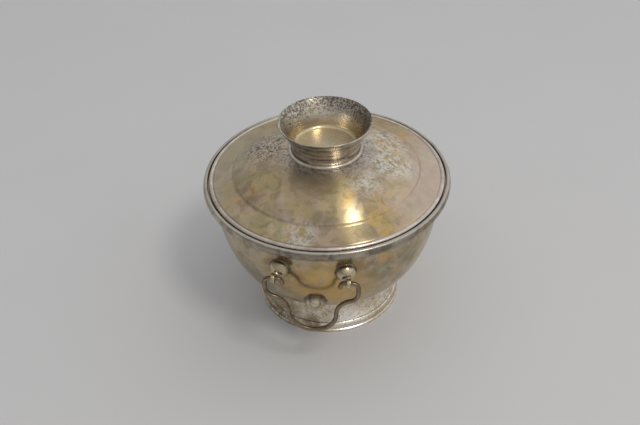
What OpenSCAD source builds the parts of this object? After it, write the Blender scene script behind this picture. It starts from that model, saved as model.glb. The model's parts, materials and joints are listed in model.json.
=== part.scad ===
// Covered silver sugar bowl on a flared foot, with two swinging bail handles and a lift-off lid.
// Millimetres, +Z up. The origin is the middle of the foot's flat underside; the front handle faces -Y.

/* [Bowl] */
// Outside diameter across the rim band
rim_d = 120; // [100:1:144]
// Height of the rim band's top above the table
rim_top_z = 73.4; // [61:0.1:90]
// Thickness of the sheet that the bowl is raised from
bowl_sheet = 1.0; // [0.8:0.1:1.3]
// Height above the table at which the wall turns under and meets the foot
turn_z = 19.8; // [16:0.1:24]
// Length of straight-sided wall below the neck, before the belly rounds in
side_pull = 28.5; // [20:0.5:34]
// Fullness of the curve where the belly turns under
belly_pull = 12.1; // [8:0.1:16]

/* [Rim band] */
// Height of the band soldered round the mouth
band_h = 4.4; // [3.6:0.1:5.4]
// Width of the band's top beside the lid
band_land = 2.2; // [1.8:0.1:2.8]
// How far the band's face bulges
band_bulge = 0.8; // [0.4:0.1:1]
// Depth of the rebate that the lid's bead sits in
rebate_h = 1.8; // [1.4:0.1:2.2]
// Thickness of the ledge that carries the lid
ledge_t = 1.4; // [1:0.1:1.8]

/* [Foot] */
// Diameter of the foot's base ring
foot_d = 74; // [62:0.5:90]
// Height of the base ring
base_ring_h = 5.0; // [4:0.1:6]
// Thickness of the sheet that the foot is spun from
foot_sheet = 1.0; // [0.8:0.1:1.3]
// How far the foot narrows from the base ring to its top
foot_taper = 5.6; // [4.5:0.1:7]

/* [Lid] */
// Thickness of the lid's sheet
lid_sheet = 0.9; // [0.7:0.1:1.1]
// Radius of the bead round the lid's edge
bead_r = 1.25; // [1:0.05:1.5]
// Width of the lid's plain brim between bead and step
brim_w = 10.4; // [8:0.1:13]
// Rise of the brim from the bead to the step
brim_rise = 2.7; // [1.5:0.1:4]
// Height of the small step at the edge of the dome
step_h = 1.1; // [0.8:0.1:1.6]
// Rise of the dome from its step to its crown
dome_rise = 11.1; // [8:0.1:14]
// How far the locating ring under the lid reaches below the seat
bezel_drop = 3.6; // [2.6:0.1:5]
// Thickness of the locating ring
bezel_t = 0.8; // [0.6:0.1:1]

/* [Finial cup] */
// Outside diameter of the cup's mouth
cup_d = 45.2; // [38:0.2:52]
// Height of the cup
cup_h = 14.5; // [12:0.1:18]
// Outside radius of the cup where it stands on its base bead
cup_foot_r = 16.3; // [14:0.1:18]
// Thickness of the cup's wall and floor
cup_sheet = 0.8; // [0.6:0.1:1]
// Radius of the bead under the cup
base_bead_r = 1.05; // [0.9:0.05:1.25]

/* [Handles] */
// Diameter of the bail's wire
wire_d = 2.2; // [1.6:0.1:2.4]
// Radius of each domed boss that carries an eye
boss_r = 4.8; // [4:0.1:5.8]
// Distance of each boss from the handle's middle plane
boss_u = 14.7; // [13:0.1:17.6]
// Distance of each eye's middle outside its boss's middle
eye_shift = 2.3; // [1:0.1:2.8]
// Thickness of each eye along its hole
eye_w = 1.8; // [1.4:0.1:2.2]
// Metal round the hole of each eye
eye_wall = 1.0; // [0.8:0.1:1.3]
// Diameter of the shank that joins an eye to its boss
shank_d = 2.2; // [1.8:0.1:2.6]
// Dip of the shank below level
eye_dip = 5.5; // [0:0.5:15]
// Depth of the hanging bail below its hinge
bail_drop = 31; // [26:0.5:38]
// Radius of the bail's bottom bow
bow_r = 11; // [9:0.1:13.2]
// Radius of the bail's shoulders
shoulder_r = 5.5; // [4.6:0.1:6.6]
// Depth of the shoulders' widest point below the hinge
shoulder_drop = 5.8; // [4.8:0.1:7]
// Radius of the elbow where the wire turns into the eye
elbow_r = 2.6; // [2.1:0.1:3.1]
// Radius of the curl at each end of the wire
curl_r = 2.2; // [1.8:0.1:2.7]
// Radius of the domed stop that keeps the bail off the wall
stop_r = 5.3; // [4.4:0.1:6.4]

/* [Fits] */
// Gap between the lid's bead and the rebate, at the side
lid_gap = 0.55; // [0.4:0.05:0.8]
// Gap between the locating ring and the ledge, at the side
bezel_gap = 0.4; // [0.3:0.05:0.6]
// Gap between the lid's crown and the floor of the cup above it
floor_gap = 0.15; // [0.1:0.05:0.4]
// Clearance of the wire in the eye, at the side
eye_clearance = 0.3; // [0.2:0.05:0.4]
// Free movement of the bail along its hinge, each way
side_play = 0.7; // [0.5:0.1:1]
// Gap between a boss and the rim band above it
boss_headroom = 6.3; // [5:0.1:8]

/* [Hidden] */
$fn = 96;

// Seat of the lid, and the radii that follow from the rim
rim_r = rim_d / 2;
band_z = rim_top_z - band_h;
seat_z = rim_top_z - rebate_h;
rebate_r = rim_r - band_land;
collar_wall = 0.8;                    // band metal outside the bowl's collar, beyond the land
collar_r = rebate_r - collar_wall;
collar_top_z = seat_z - ledge_t;
bead_clear = 0.25;                    // gap between the lid's bead and the locating ring inside it
ledge_w = lid_gap + 2 * bead_r + bead_clear - bezel_gap;
ledge_r = rebate_r - ledge_w;         // the ledge reaches in under the whole bead
band_round = 0.3;                     // softening of the band's top edges

// Bowl: neck under the collar, then the wall's curve, then the dished bottom
neck_in = 1.6;                        // neck inside the collar
neck_drop = 2.4;                      // height of the sweep from neck to collar
collar_lap = 0.3;                     // straight collar below the band
lip_z = band_z - collar_lap;
neck_r = collar_r - neck_in;
neck_z = lip_z - neck_drop;
side_lean = 2.7;                      // lean of the straight side, degrees
turn_rise = 9.6;                      // slope of the bottom where it meets the foot, degrees
turn_reach = 1.3;                     // bowl beyond the foot's top
neck_pull = 0.1;                      // first outward lean of the sweep above the neck
foot_r = foot_d / 2;
foot_top_r = foot_r - foot_taper;
turn_r = foot_top_r + turn_reach;
bottom_z = turn_z - turn_r * tan(turn_rise) / 2;

// Foot: a flat ring with a thin lip and a rounded swell, which the flare stands on
ring_w = 3.2;                         // width of the ring's flat underside
ring_top_in = 1.9;                    // top of the swell, inside the lip
lip_h = 1.2;                          // height of the lip
lip_ledge = 0.5;                      // width of the lip's top beyond the swell
lip_slope = 0.3;                      // height over which the lip's top slopes up to the swell
flare_kick = 0.7;                     // share of the taper in the flare's bottom sweep
flare_kick_h = 4;                     // height of that sweep
flare_hollow = 0.5;                   // waist of the flare, inside its top
flare_waist_drop = 7;                 // waist below the turn of the bowl
flare_lap = 1;                        // flare drawn up into the bowl's metal, where it is cut

// Lid: everything is stacked from the seat
seat_flat = 0.1;                      // the bead is dressed flat by this much where it sits
brim_meets = [-0.6, 1.0];             // where the brim's top runs into the bead, from its centre
step_w = 0.6;                         // width of the step
crown_level = 0.55;                   // share of the dome's radius over which the crown stays level
crown_fall = 0.2;                     // fall of the crown over that share
haunch = 0.85;                        // share of the dome's radius at its fullest
haunch_fall = 0.55;                   // share of the dome's rise that it has lost there
bead_c = [rebate_r - lid_gap - bead_r, seat_z + bead_r - seat_flat];
brim_out = bead_c + brim_meets;
step_out = [bead_c[0] - brim_w, brim_out[1] + brim_rise];
step_in = step_out + [-step_w, step_h];
crown_z = step_in[1] + dome_rise;
bezel_r = ledge_r - bezel_gap;
bezel_z = seat_z - bezel_drop;

// Finial: its base bead fills the gap between the dome and the foot of the cup
bead_out = 0.6;                       // middle of the bead outside the cup's foot
cup_lean = 0.1;                       // first outward lean of the cup's wall
cup_lean_h = 0.32;                    // share of the cup's height at that lean
cup_sweep = 2.7;                      // lean of the wall where it begins to flare
cup_sweep_h = 0.68;                   // share of the cup's height there
cup_z = crown_z + floor_gap;
cup_top_z = cup_z + cup_h;
cup_floor_z = cup_z + cup_sheet;
base_bead_mid = cup_foot_r + bead_out;
base_bead_c = [base_bead_mid, (dome_z(base_bead_mid) + cup_z) / 2];

// Handles: domed bosses on the wall, eyes on the bosses, bails in the eyes
wire_r = wire_d / 2;
dome_sunk = 0.5;                      // a dome's centre below the wall's surface
boss_z = band_z - boss_headroom - boss_r;
boss_rho = wall_r(boss_z) - dome_sunk;
boss_n = sqrt(boss_rho * boss_rho - boss_u * boss_u);
eye_hole_r = wire_r + eye_clearance;
eye_r = eye_hole_r + eye_wall;
eye_reach = boss_r + eye_r;
eye_u = boss_u + eye_shift;
hinge_n = boss_n + eye_reach * cos(eye_dip);
hinge_z = boss_z - eye_reach * sin(eye_dip);
pin_out = eye_u + eye_w / 2 + side_play;
pin_in = eye_u - eye_w / 2 - side_play;
shoulder_u = pin_out + elbow_r;
curl_turn = 75;                       // degrees the wire's end curls down
curl_tail = 1.0;                      // straight tail after the curl
pin_lap = 0.6;                        // bent wire runs this far inside the straight pin
bent_r = wire_r * 0.995;              // radius of the bent wire, just inside the pin's
// Neck of the bail: the arc tangent to the bow and to the shoulder
neck_run = bow_r + shoulder_r - shoulder_u;
neck_rise = bail_drop - bow_r - shoulder_drop;
bail_neck_r = (neck_run * neck_run + neck_rise * neck_rise - shoulder_r * shoulder_r)
    / (2 * (shoulder_r - neck_run));
neck_heading = acos(neck_rise / (bail_neck_r + shoulder_r));
stop_rise = 7.8;                      // the stop's middle above the bail's lowest point
stop_z = hinge_z - bail_drop + stop_rise;

// A point on a cubic curve with control points c
function on_curve(c, t) =
    pow(1 - t, 3) * c[0] + 3 * pow(1 - t, 2) * t * c[1] + 3 * (1 - t) * t * t * c[2] + pow(t, 3) * c[3];
function curve(c, n) = [for (i = [0:n]) on_curve(c, i / n)];
function tail(list) = [for (i = [1:len(list) - 1]) list[i]];
function reversed(list) = [for (i = [len(list) - 1:-1:0]) list[i]];
function unit(v) = v / norm(v);
function left_of(v) = [-v[1], v[0]];
// The path moved sideways by t, to the left of its direction, with mitred corners
function beside(path, t) = [
    for (i = [0:len(path) - 1])
        let (
            before = unit(path[max(i, 1)] - path[max(i, 1) - 1]),
            after = unit(path[min(i, len(path) - 2) + 1] - path[min(i, len(path) - 2)]),
            side = unit(left_of(before + after)),
            p = path[i] + side * t / (side * left_of(before))
        )
        [max(p[0], 0), p[1]]
];
// Radius of a profile at height z, and height of a profile at radius r
function radius_at(path, z) = lookup(z, [for (p = path) [p[1], p[0]]]);
function height_at(path, r) = lookup(r, [for (p = path) [p[0], p[1]]]);

// Outside of the bowl from the middle of its bottom to the top of its collar
function bottom_path() = [
    for (i = [0:6])
        let (s = i / 6) [turn_r * s, bottom_z + (turn_z - bottom_z) * s * s]
];
function side_path() = curve([
    [turn_r, turn_z],
    [turn_r + belly_pull * cos(turn_rise), turn_z + belly_pull * sin(turn_rise)],
    [neck_r - side_pull * sin(side_lean), neck_z - side_pull * cos(side_lean)],
    [neck_r, neck_z]
], 22);
function lip_path() = curve([
    [neck_r, neck_z],
    [neck_r + neck_pull, neck_z + neck_drop / 2],
    [collar_r, lip_z - neck_drop / 2],
    [collar_r, lip_z]
], 6);
function bowl_path() = concat(
    bottom_path(), tail(side_path()), tail(lip_path()), [[collar_r, collar_top_z]]
);
function wall_r(z) = radius_at(side_path(), z);
// Outward direction of the wall's surface at height z, as [away from the axis, up]
function wall_out(z) = let (h = 0.5) -left_of(unit([wall_r(z + h) - wall_r(z - h), 2 * h]));

// Top of the lid from its crown out to the bead
function dome_path() = curve([
    [0, crown_z],
    [step_in[0] * crown_level, crown_z - crown_fall],
    [step_in[0] * haunch, crown_z - dome_rise * haunch_fall],
    step_in
], 20);
function dome_z(r) = height_at(dome_path(), r);
function lid_path() = concat(dome_path(), [step_out, brim_out]);

// Outside of the foot's flare from the base ring to just inside the bowl's metal
function flare_path() = curve([
    [foot_r - ring_top_in, base_ring_h],
    [foot_r - foot_taper * flare_kick, base_ring_h + flare_kick_h],
    [foot_top_r - flare_hollow, turn_z - flare_waist_drop],
    [foot_top_r, turn_z + flare_lap]
], 10);

// Outside of the finial cup from its foot to its mouth
function cup_path() = curve([
    [cup_foot_r, cup_z],
    [cup_foot_r + cup_lean, cup_z + cup_h * cup_lean_h],
    [cup_foot_r + cup_sweep, cup_z + cup_h * cup_sweep_h],
    [cup_d / 2, cup_top_z]
], 12);

// Everything inside the bowl's outer surface, which soldered-on pieces are cut to
module bowl_fill_2d() {
    polygon(concat(bowl_path(), [[0, collar_top_z]]));
}
module bowl_fill() {
    rotate_extrude() bowl_fill_2d();
}
// Everything under the lid's top surface
module lid_fill_2d() {
    polygon(concat(lid_path(), [[brim_out[0], bezel_z - 1], [0, bezel_z - 1]]));
}
module edge_bead_2d() {
    translate(bead_c) circle(bead_r);
}
module base_bead_2d() {
    translate(base_bead_c) circle(base_bead_r);
}

module bowl_shell() {
    color("#a99767") rotate_extrude()
        polygon(concat(bowl_path(), reversed(beside(bowl_path(), bowl_sheet))));
}

module bowl_rim_band() {
    middle = band_z + band_h / 2;
    face = [
        for (i = [0:8])
            let (s = 2 * i / 8 - 1)
            [rim_r - band_bulge * s * s, middle + s * (band_h / 2 - (s > 0 ? band_round : 0))]
    ];
    color("#4a4640") rotate_extrude() polygon(concat(
        [[collar_r, band_z]], face,
        [
            [rim_r - band_bulge - band_round, rim_top_z],
            [rebate_r + band_round, rim_top_z],
            [rebate_r, rim_top_z - band_round],
            [rebate_r, seat_z],
            [ledge_r, seat_z],
            [ledge_r, collar_top_z],
            [collar_r, collar_top_z]
        ]
    ));
}

module foot_flare() {
    color("#c9c4b6") rotate_extrude() difference() {
        polygon(concat(flare_path(), reversed(beside(flare_path(), foot_sheet))));
        bowl_fill_2d();
        square([foot_r, base_ring_h]);
    }
}

module foot_base_ring() {
    swell_z = lip_h + lip_slope;
    swell = [
        for (i = [0:8])
            let (a = 90 * i / 8)
            [
                foot_r - ring_top_in + (ring_top_in - lip_ledge) * cos(a),
                swell_z + (base_ring_h - swell_z) * sin(a)
            ]
    ];
    color("#d2cdbf") rotate_extrude() polygon(concat(
        [[foot_r - ring_w, 0], [foot_r, 0], [foot_r, lip_h]], swell, [[foot_r - ring_w, base_ring_h]]
    ));
}

// Places its children with +Y pointing away from the bowl: side 1 is the rear handle, -1 the front
module handle_side(side) {
    rotate(side > 0 ? 0 : 180) children();
}

// A dome soldered to the wall, its centre just under the wall's surface
module dome(side, r, centre) {
    handle_side(side) difference() {
        translate(centre) sphere(r);
        bowl_fill();
    }
}

// A boss for an eye; hand is 1 or -1 along the handle's own X
module boss(side, hand) {
    color("#b9a578") dome(side, boss_r, [hand * boss_u, boss_n, boss_z]);
}

// A drilled eye on a short shank in front of its boss
module eye(side, hand) {
    to_boss = [hand * (boss_u - eye_u), boss_n - hinge_n, boss_z - hinge_z];
    color("#a8a092") handle_side(side) difference() {
        translate([hand * eye_u, hinge_n, hinge_z]) difference() {
            union() {
                rotate([0, 90, 0]) cylinder(r = eye_r, h = eye_w, center = true);
                rotate([0, acos(to_boss[2] / norm(to_boss)), atan2(to_boss[1], to_boss[0])])
                    cylinder(r = shank_d / 2, h = norm(to_boss) - boss_r / 2);
            }
            rotate([0, 90, 0]) cylinder(r = eye_hole_r, h = 3 * eye_w, center = true);
        }
        translate([hand * boss_u, boss_n, boss_z]) sphere(boss_r);
    }
}

// A domed stop on the wall, level with the bow of the bail
module stop(side) {
    seat = [wall_r(stop_z), stop_z] - dome_sunk * wall_out(stop_z);
    color("#b5a887") dome(side, stop_r, [0, seat[0], seat[1]]);
}

// Points along an arc about c, from angle a0 through the angle turn
function arc(c, r, a0, turn, n) = [for (i = [0:n]) let (a = a0 + turn * i / n) c + r * [cos(a), sin(a)]];
function mirrored(path) = [for (p = path) [-p[0], p[1]]];

// Middle line of half a hanging bail from its lowest point into the eye: X across, Y up from the hinge
function bail_half_path() = concat(
    arc([0, bow_r - bail_drop], bow_r, -90, 90, 12),
    tail(arc([bow_r + bail_neck_r, bow_r - bail_drop], bail_neck_r, 180, neck_heading - 90, 9)),
    tail(arc([shoulder_u - shoulder_r, -shoulder_drop], shoulder_r, neck_heading - 90, 90 - neck_heading, 8)),
    arc([pin_out, -elbow_r], elbow_r, 0, 90, 7),
    [[pin_out - pin_lap, 0]]
);
// Middle line of the curl at the wire's end
function curl_path() =
    let (bend = arc([pin_in, -curl_r], curl_r, 90, curl_turn, 8))
    concat([[pin_in + pin_lap, 0]], bend, [bend[8] - curl_tail * [cos(curl_turn), sin(curl_turn)]]);

// Round wire along a path in the plane XY
module bent_wire(path) {
    sides = 16;
    last = len(path) - 1;
    rings = [
        for (i = [0:last])
            let (side = unit(left_of(unit(path[max(i, 1)] - path[max(i, 1) - 1])
                + unit(path[min(i, last - 1) + 1] - path[min(i, last - 1)]))))
            for (j = [0:sides - 1])
                let (a = 360 * j / sides, across = bent_r * cos(a))
                [path[i][0] + across * side[0], path[i][1] + across * side[1], bent_r * sin(a)]
    ];
    walls = [
        for (i = [0:last - 1], j = [0:sides - 1])
            let (k = (j + 1) % sides)
            [i * sides + j, (i + 1) * sides + j, (i + 1) * sides + k, i * sides + k]
    ];
    ends = [
        [for (j = [0:sides - 1]) j],
        [for (j = [sides - 1:-1:0]) last * sides + j]
    ];
    polyhedron(rings, concat(walls, ends), convexity = 8);
}

// The straight round end of the wire that turns in an eye, with the curl that keeps it there
module bail_end() {
    translate([pin_in, 0, 0]) rotate([0, 90, 0]) cylinder(r = wire_r, h = pin_out - pin_in);
    bent_wire(curl_path());
}

module bail(side) {
    half = bail_half_path();
    color("#6b5a3c") handle_side(side) translate([0, hinge_n, hinge_z]) rotate([90, 0, 0]) {
        bent_wire(concat(reversed(mirrored(half)), tail(half)));
        bail_end();
        mirror([1, 0, 0]) bail_end();
    }
}

module lid_shell() {
    color("#b39a62") rotate_extrude() difference() {
        polygon(concat(lid_path(), reversed(beside(lid_path(), -lid_sheet))));
        edge_bead_2d();
    }
}

module lid_edge_bead() {
    color("#d8ccc0") rotate_extrude() difference() {
        edge_bead_2d();
        translate([0, seat_z - bead_r]) square([rim_r, bead_r]);
    }
}

module lid_bezel() {
    color("#b8b0a0") rotate_extrude() difference() {
        translate([bezel_r - bezel_t, bezel_z])
            square([bezel_t, brim_out[1] - bezel_z]);
        polygon(concat(
            reversed(beside(lid_path(), -lid_sheet)),
            [[0, crown_z + 1], [rim_r, crown_z + 1], [rim_r, seat_z]]
        ));
    }
}

module finial_base_bead() {
    color("#cfc8b8") rotate_extrude() difference() {
        base_bead_2d();
        lid_fill_2d();
    }
}

module finial_cup() {
    inside = beside(cup_path(), cup_sheet);
    hollow = concat(
        [[0, cup_floor_z], [radius_at(inside, cup_floor_z), cup_floor_z]],
        [for (p = inside) if (p[1] > cup_floor_z && p[1] < cup_top_z) p],
        [[radius_at(inside, cup_top_z), cup_top_z], [0, cup_top_z]]
    );
    color("#8f8878") rotate_extrude() difference() {
        polygon(concat([[0, cup_z]], cup_path(), [[0, cup_top_z]]));
        polygon(hollow);
        base_bead_2d();
    }
}

bowl_shell();
bowl_rim_band();
foot_flare();
foot_base_ring();
boss(-1, 1);  // front_left_boss
boss(-1, -1);  // front_right_boss
boss(1, -1);  // rear_left_boss
boss(1, 1);  // rear_right_boss
eye(-1, 1);  // front_left_eye
eye(-1, -1);  // front_right_eye
eye(1, -1);  // rear_left_eye
eye(1, 1);  // rear_right_eye
stop(-1);  // front_stop
stop(1);  // rear_stop
bail(-1);  // front_bail
bail(1);  // rear_bail
lid_shell();
lid_edge_bead();
lid_bezel();
finial_base_bead();
finial_cup();
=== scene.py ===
"""Covered silver bowl with bail handles: its visible pieces, their finishes and a plain studio.

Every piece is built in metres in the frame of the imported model, rides on its body and stands for one
node. Sizes inside the classes are millimetres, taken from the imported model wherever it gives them.
"""

import json
import logging
import math
from collections.abc import Callable, Sequence
from dataclasses import dataclass, field
from enum import Enum

import bpy
import numpy as np
from mathutils import Matrix, Vector, noise


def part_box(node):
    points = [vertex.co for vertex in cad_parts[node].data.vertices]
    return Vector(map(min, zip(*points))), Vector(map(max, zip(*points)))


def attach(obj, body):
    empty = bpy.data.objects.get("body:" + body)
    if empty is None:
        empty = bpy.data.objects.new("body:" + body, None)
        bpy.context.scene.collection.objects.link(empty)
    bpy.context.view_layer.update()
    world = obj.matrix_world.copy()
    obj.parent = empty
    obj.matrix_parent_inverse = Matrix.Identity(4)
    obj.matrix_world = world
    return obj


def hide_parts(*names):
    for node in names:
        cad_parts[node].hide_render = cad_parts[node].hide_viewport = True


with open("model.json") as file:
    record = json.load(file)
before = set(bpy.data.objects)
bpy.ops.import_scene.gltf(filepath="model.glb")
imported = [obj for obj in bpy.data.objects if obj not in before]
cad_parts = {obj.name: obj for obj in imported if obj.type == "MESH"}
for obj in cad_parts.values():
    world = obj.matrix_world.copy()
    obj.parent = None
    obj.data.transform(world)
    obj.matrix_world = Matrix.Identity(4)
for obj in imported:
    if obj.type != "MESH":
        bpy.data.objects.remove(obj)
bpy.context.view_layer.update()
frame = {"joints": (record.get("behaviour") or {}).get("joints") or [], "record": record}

MM = 0.001
ON_AXIS = 1e-6
SENSOR = 36.0
FLOOR_REACH = 6.0
FLOOR_SIDES = 96
LOG = logging.getLogger("sugar_bowl")

Point = tuple[float, float]
Colour = tuple[float, float, float]
Wobble = Callable[[float, float, float], Point]
Socket = bpy.types.NodeSocket
Marked = tuple[Socket, Socket]


class Side(Enum):
    """Which side of the bowl a handle is on, as the turn in degrees that brings it there from +Y."""

    REAR = 0.0
    FRONT = 180.0


class Hand(Enum):
    """Which end of a handle a knuckle is at, along the handle's own X."""

    PLUS = 1
    MINUS = -1


# ---------------------------------------------------------------- outlines


class Outline:
    """Points (radius, height) of a turned piece's section, in millimetres, built stretch by stretch."""

    @staticmethod
    def curve(control: Sequence[Point], steps: int) -> list[Point]:
        """Points along a cubic curve.

        Args:
            control: Its four control points.
            steps: How many steps it is cut into.

        Returns:
            steps + 1 points, both ends included.
        """
        c = np.array(control, float)
        t = np.linspace(0, 1, steps + 1)[:, None]
        p = (1 - t) ** 3 * c[0] + 3 * (1 - t) ** 2 * t * c[1] + 3 * (1 - t) * t * t * c[2] + t**3 * c[3]
        return [tuple(q) for q in p]

    @staticmethod
    def arc(centre: Point, radius: float, start: float, turn: float, steps: int) -> list[Point]:
        """Points along an arc.

        Args:
            centre: Middle of the arc.
            radius: Radius of the arc.
            start: Angle of its first point, in degrees.
            turn: Angle from its first point to its last, in degrees.
            steps: How many steps it is cut into.

        Returns:
            steps + 1 points, both ends included.
        """
        angles = [math.radians(start + turn * i / steps) for i in range(steps + 1)]
        return [(centre[0] + radius * math.cos(a), centre[1] + radius * math.sin(a)) for a in angles]

    @staticmethod
    def beside(path: Sequence[Point], distance: float) -> list[Point]:
        """The path moved sideways, to the left of its direction.

        Args:
            path: An open run of points.
            distance: How far it moves.

        Returns:
            As many points as the path, none past the axis.
        """
        p = np.array(path, float)
        ahead = np.gradient(p, axis=0)
        ahead /= np.linalg.norm(ahead, axis=1)[:, None]
        moved = p + distance * np.stack([-ahead[:, 1], ahead[:, 0]], axis=1)
        moved[:, 0] = np.maximum(moved[:, 0], 0)
        return [tuple(q) for q in moved]

    @staticmethod
    def softened(corners: Sequence[tuple[float, float, float]], steps: int = 6) -> list[Point]:
        """A closed outline with rounded corners and a close pair of points beside each of them.

        Args:
            corners: (radius, height, rounding) of each corner in order.
            steps: Steps in each rounding.

        Returns:
            The points of the closed outline.
        """
        made: list[Point] = []
        count = len(corners)
        for i, (x, y, rounding) in enumerate(corners):
            here = Vector((x, y))
            back = Vector(corners[i - 1][:2]) - here
            on = Vector(corners[(i + 1) % count][:2]) - here
            if rounding <= 0:
                made.append((x, y))
                continue
            half = back.angle(on) / 2
            reach = min(rounding / math.tan(half), 0.48 * back.length, 0.48 * on.length)
            first, last = here + back.normalized() * reach, here + on.normalized() * reach
            if back.length > 4 * reach:
                made.append(tuple(here + back.normalized() * (reach * 1.5)))
            for k in range(steps + 1):
                t = k / steps
                made.append(tuple(first * (1 - t) ** 2 + here * (2 * t * (1 - t)) + last * t * t))
            if on.length > 4 * reach:
                made.append(tuple(here + on.normalized() * (reach * 1.5)))
        return made


class Shape:
    """Mesh building: turned pieces and round wire."""

    @staticmethod
    def made(
        name: str, points: Sequence[Sequence[float]], faces: Sequence[Sequence[int]]
    ) -> bpy.types.Object:
        """A smooth-shaded object from points in metres.

        Args:
            name: Name of the object.
            points: Its vertices.
            faces: Its faces.

        Returns:
            The object, linked to the scene.
        """
        mesh = bpy.data.meshes.new(name)
        mesh.from_pydata([tuple(p) for p in points], [], [tuple(f) for f in faces])
        mesh.validate()
        mesh.update()
        for polygon in mesh.polygons:
            polygon.use_smooth = True
        piece = bpy.data.objects.new(name, mesh)
        bpy.context.scene.collection.objects.link(piece)
        return piece

    @staticmethod
    def ring_faces(rows: int, columns: int, first: int, closed: bool) -> list[tuple[int, ...]]:
        """Quads over a grid of vertices that goes round.

        Args:
            rows: Vertices along the section.
            columns: Sections round the piece; the last joins the first.
            first: Index of the grid's first vertex.
            closed: True if the section itself is a closed loop.

        Returns:
            The quads.
        """
        faces = []
        for j in range(columns):
            k = (j + 1) % columns
            for i in range(rows if closed else rows - 1):
                n = (i + 1) % rows
                here, beyond = first + j * rows, first + k * rows
                faces.append((here + i, beyond + i, beyond + n, here + n))
        return faces

    @classmethod
    def turned(
        cls, name: str, section: Sequence[Point], segments: int, wobble: Wobble | None = None
    ) -> bpy.types.Object:
        """A piece turned about the Z axis from a closed section, anticlockwise with radius to the right.

        Args:
            name: Name of the object.
            section: Points (radius, height) in millimetres; a run that starts and ends on the axis is
                closed by it.
            segments: Steps round the axis.
            wobble: Gives how far a point (angle, radius, height) strays from round, as (radius, height).

        Returns:
            The object.
        """
        points, faces = cls.turned_data(section, segments, wobble)
        return cls.made(name, points, faces)

    @classmethod
    def turned_data(
        cls, section: Sequence[Point], segments: int, wobble: Wobble | None = None
    ) -> tuple[list[tuple[float, float, float]], list[tuple[int, ...]]]:
        """The vertices, in metres, and faces of a turned piece; the arguments are those of turned."""
        poles = section[0][0] < ON_AXIS and section[-1][0] < ON_AXIS
        body = list(section[1:-1]) if poles else list(section)
        points: list[tuple[float, float, float]] = []
        for j in range(segments):
            angle = 2 * math.pi * j / segments
            for r, z in body:
                dr, dz = wobble(angle, r, z) if wobble else (0.0, 0.0)
                reach = (r + dr) * MM
                points.append((reach * math.cos(angle), reach * math.sin(angle), (z + dz) * MM))
        faces = cls.ring_faces(len(body), segments, 0, closed=not poles)
        if poles:
            for (_, z), row in ((section[0], 0), (section[-1], len(body) - 1)):
                pole = len(points)
                dz = wobble(0.0, 0.0, z)[1] if wobble else 0.0
                points.append((0.0, 0.0, (z + dz) * MM))
                for j in range(segments):
                    a, b = j * len(body) + row, ((j + 1) % segments) * len(body) + row
                    faces.append((pole, b, a) if row == 0 else (pole, a, b))
        return points, faces

    @staticmethod
    def wire(
        path: Sequence[Vector], radius: float, sides: int, swell: Callable[[float], float]
    ) -> tuple[list[Vector], list[tuple[int, ...]]]:
        """Round wire with domed ends along a path.

        Args:
            path: Its middle line in millimetres.
            radius: Its radius in millimetres.
            sides: Points round it.
            swell: Gives the share of the radius at a share of the length.

        Returns:
            Vertices in millimetres, and faces.
        """
        points: list[Vector] = []
        last = len(path) - 1
        plane = Vector((0, 1, 0))
        domes = 5
        rows: list[tuple[Vector, Vector, float]] = []
        for i, p in enumerate(path):
            ahead = (path[min(i + 1, last)] - path[max(i - 1, 0)]).normalized()
            size = radius * swell(i / last)
            if i == 0:
                for k in range(1, domes):
                    a = math.pi / 2 * k / domes
                    rows.append((p - ahead * size * math.cos(a), ahead, size * math.sin(a)))
            rows.append((p, ahead, size))
            if i == last:
                for k in range(domes - 1, 0, -1):
                    a = math.pi / 2 * k / domes
                    rows.append((p + ahead * size * math.cos(a), ahead, size * math.sin(a)))
        for centre, ahead, size in rows:
            across = ahead.cross(plane).normalized()
            out = across.cross(ahead)
            for k in range(sides):
                a = 2 * math.pi * k / sides
                points.append(centre + across * (size * math.cos(a)) + out * (size * math.sin(a)))
        faces = []
        for i in range(len(rows) - 1):
            for k in range(sides):
                n = (k + 1) % sides
                faces.append((i * sides + k, i * sides + n, (i + 1) * sides + n, (i + 1) * sides + k))
        first_tip, last_tip = len(points), len(points) + 1
        ahead = rows[0][1]
        points.append(path[0] - ahead * radius * swell(0.0))
        points.append(path[last] + rows[-1][1] * radius * swell(1.0))
        top = (len(rows) - 1) * sides
        for k in range(sides):
            n = (k + 1) % sides
            faces.append((first_tip, n, k))
            faces.append((last_tip, top + k, top + n))
        return points, faces


def hammered(size: float, amount: float, seed: float) -> Wobble:
    """Slight waves that hand raising leaves in sheet, always inwards so that a piece keeps to its size.

    Args:
        size: Width of the waves in millimetres.
        amount: The most that a point moves, in millimetres.
        seed: Shifts the pattern.

    Returns:
        The wobble.
    """

    def stray(angle: float, r: float, z: float) -> Point:
        place = Vector((r * math.cos(angle) / size + seed, r * math.sin(angle) / size, z / size))
        n = 0.5 + 0.5 * max(-1.0, min(1.0, noise.noise(place) * 1.6))
        return (-amount * n * min(1.0, r / 6), -amount * 0.4 * n)

    return stray


# ---------------------------------------------------------------- finishes


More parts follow.
